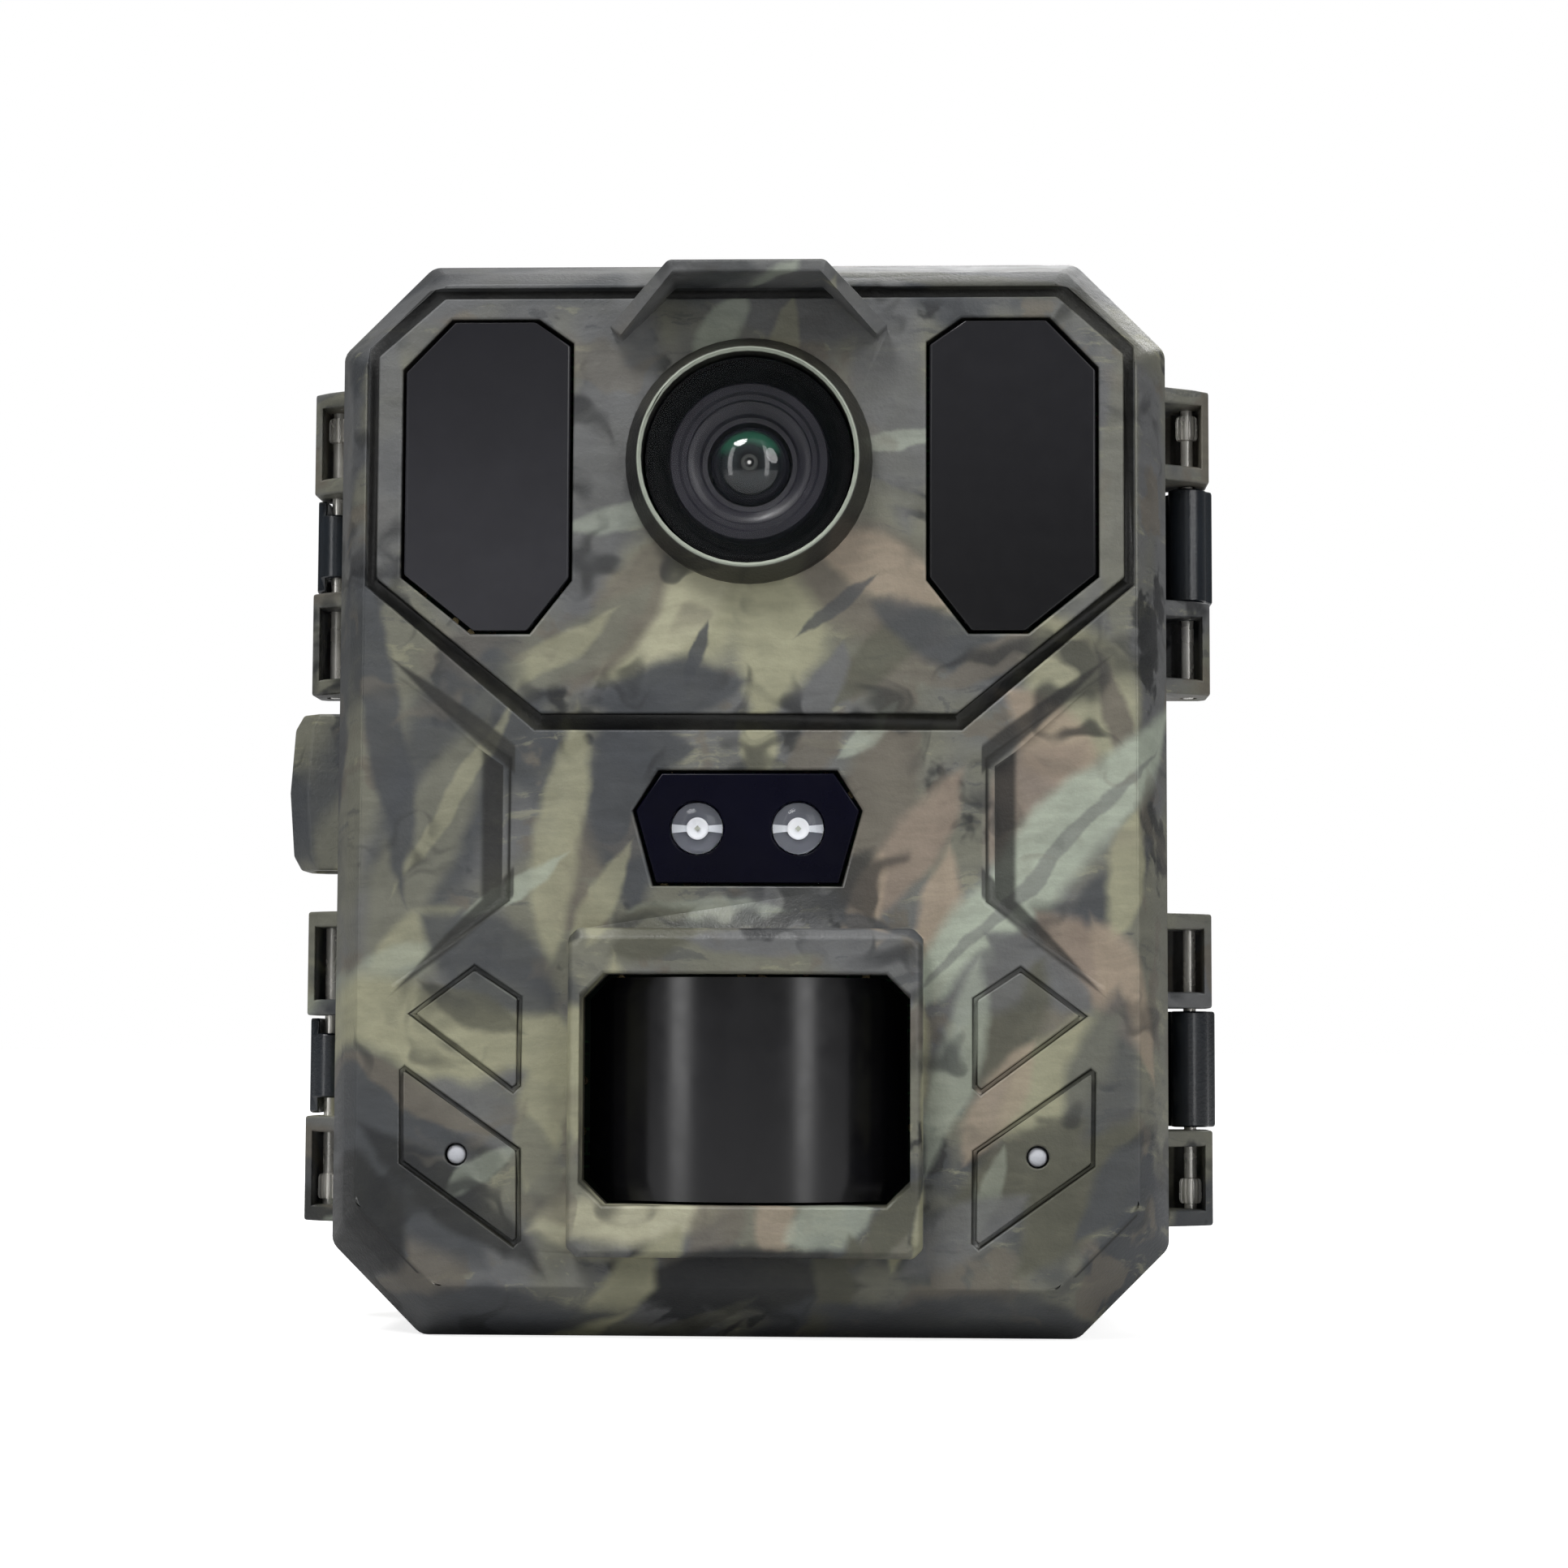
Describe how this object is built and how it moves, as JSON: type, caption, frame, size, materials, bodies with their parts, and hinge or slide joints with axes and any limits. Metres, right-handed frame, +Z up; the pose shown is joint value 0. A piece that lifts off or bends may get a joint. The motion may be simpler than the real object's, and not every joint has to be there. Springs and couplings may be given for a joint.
{
  "type": "trail camera",
  "caption": "Compact camouflaged trail camera with hooded lens, infrared windows, motion detector, side hinges and latches, and strap bridges on the rear cover.",
  "frame": {"origin": "on the flat underside of the case, under the middle of its width", "axes": "+Z up the case, -Y the way the lens looks, +X to the right seen from the front"},
  "size_m": [0.1008, 0.0628, 0.1116],
  "materials": {
    "camo_shell": "printed woodland camouflage, satin",
    "smoked_window": "smoked gloss",
    "indicator_plate": "gloss",
    "clear_plastic": "clear",
    "membrane": "matte",
    "lens_black": "satin",
    "lens_glass": "coated",
    "circuit_board": "solder resist",
    "inner_grey": "fine texture",
    "black_nylon": "satin gloss",
    "key_rubber": "soft matte",
    "display": "gloss",
    "card_black": "satin",
    "nickel_pin": "bright nickel",
    "steel_screw": "satin",
    "socket_steel": "tinned",
    "cell_sleeve": "printed foil, no lettering",
    "seal_rubber": "matte",
    "brass_insert": "machined"
  },
  "bodies": {
    "front_housing": {"front_shell": "camo_shell", "ir_window_left": "smoked_window", "ir_window_right": "smoked_window", "ir_led_board_left": "circuit_board", "ir_led_board_right": "circuit_board", "indicator_plate": "indicator_plate", "status_lamp_left": "clear_plastic", "status_lamp_right": "clear_plastic", "port_membrane_left": "membrane", "port_membrane_right": "membrane", "lens_window": "clear_plastic", "lens_hood_ring": "lens_black", "lens_barrel": "lens_black", "lens_front_glass": "lens_glass", "lens_holder": "lens_black", "image_sensor": "inner_grey", "pir_lens": "smoked_window", "pir_sensor": "nickel_pin", "main_board": "circuit_board", "mid_frame": "inner_grey", "frame_screw_1": "steel_screw", "frame_screw_2": "steel_screw", "frame_screw_3": "steel_screw", "frame_screw_4": "steel_screw", "lcd_panel": "display", "lcd_window": "clear_plastic", "sd_socket": "socket_steel", "usb_port": "socket_steel", "speaker": "card_black", "microphone": "nickel_pin", "battery_cell_1": "cell_sleeve", "battery_cell_2": "cell_sleeve", "battery_cell_3": "cell_sleeve", "battery_cell_4": "cell_sleeve", "cell_spring_1": "nickel_pin", "cell_spring_2": "nickel_pin", "cell_spring_3": "nickel_pin", "cell_spring_4": "nickel_pin", "contact_strip_bottom": "nickel_pin", "contact_strip_top": "nickel_pin", "seal_gasket": "seal_rubber", "tripod_insert": "brass_insert", "hinge_pin_upper": "nickel_pin", "hinge_pin_lower": "nickel_pin", "latch_pin_upper": "nickel_pin", "latch_pin_lower": "nickel_pin"},
    "rear_cover": {"rear_cover": "camo_shell", "hinge_arm_upper": "black_nylon", "hinge_arm_lower": "black_nylon", "arm_screw_upper": "steel_screw", "arm_screw_lower": "steel_screw"},
    "latch_lever_upper": {"latch_lever_upper": "black_nylon"},
    "latch_lever_lower": {"latch_lever_lower": "black_nylon"},
    "key_up": {"key_up": "key_rubber"},
    "key_down": {"key_down": "key_rubber"},
    "key_left": {"key_left": "key_rubber"},
    "key_right": {"key_right": "key_rubber"},
    "key_ok": {"key_ok": "key_rubber"},
    "mode_switch": {"mode_switch": "key_rubber"},
    "sd_card": {"sd_card": "card_black"}
  },
  "joints": [
    {"name": "cover_swing", "type": "hinge", "parent": "front_housing", "child": "rear_cover", "pos_m": [0.0469, 0.0025, 0.05605], "axis": [0, 0, -1], "range_deg": [0, 130]},
    {"name": "latch_upper", "type": "hinge", "parent": "front_housing", "child": "latch_lever_upper", "pos_m": [-0.0469, 0.0025, 0.0846], "axis": [0, 0, 1], "range_deg": [0, 100]},
    {"name": "latch_lower", "type": "hinge", "parent": "front_housing", "child": "latch_lever_lower", "pos_m": [-0.0469, 0.0025, 0.0275], "axis": [0, 0, 1], "range_deg": [0, 100]},
    {"name": "press_up", "type": "slide", "parent": "front_housing", "child": "key_up", "axis": [0, -1, 0], "range_m": [0, 0.0006], "stiffness_N_per_m": 500},
    {"name": "press_down", "type": "slide", "parent": "front_housing", "child": "key_down", "axis": [0, -1, 0], "range_m": [0, 0.0006], "stiffness_N_per_m": 500},
    {"name": "press_left", "type": "slide", "parent": "front_housing", "child": "key_left", "axis": [0, -1, 0], "range_m": [0, 0.0006], "stiffness_N_per_m": 500},
    {"name": "press_right", "type": "slide", "parent": "front_housing", "child": "key_right", "axis": [0, -1, 0], "range_m": [0, 0.0006], "stiffness_N_per_m": 500},
    {"name": "press_ok", "type": "slide", "parent": "front_housing", "child": "key_ok", "axis": [0, -1, 0], "range_m": [0, 0.0006], "stiffness_N_per_m": 500},
    {"name": "mode_slide", "type": "slide", "parent": "front_housing", "child": "mode_switch", "axis": [1, 0, 0], "range_m": [-0.003, 0.003]},
    {"name": "card_eject", "type": "slide", "parent": "front_housing", "child": "sd_card", "axis": [0, 1, 0], "range_m": [0, 0.0025]}
  ]
}
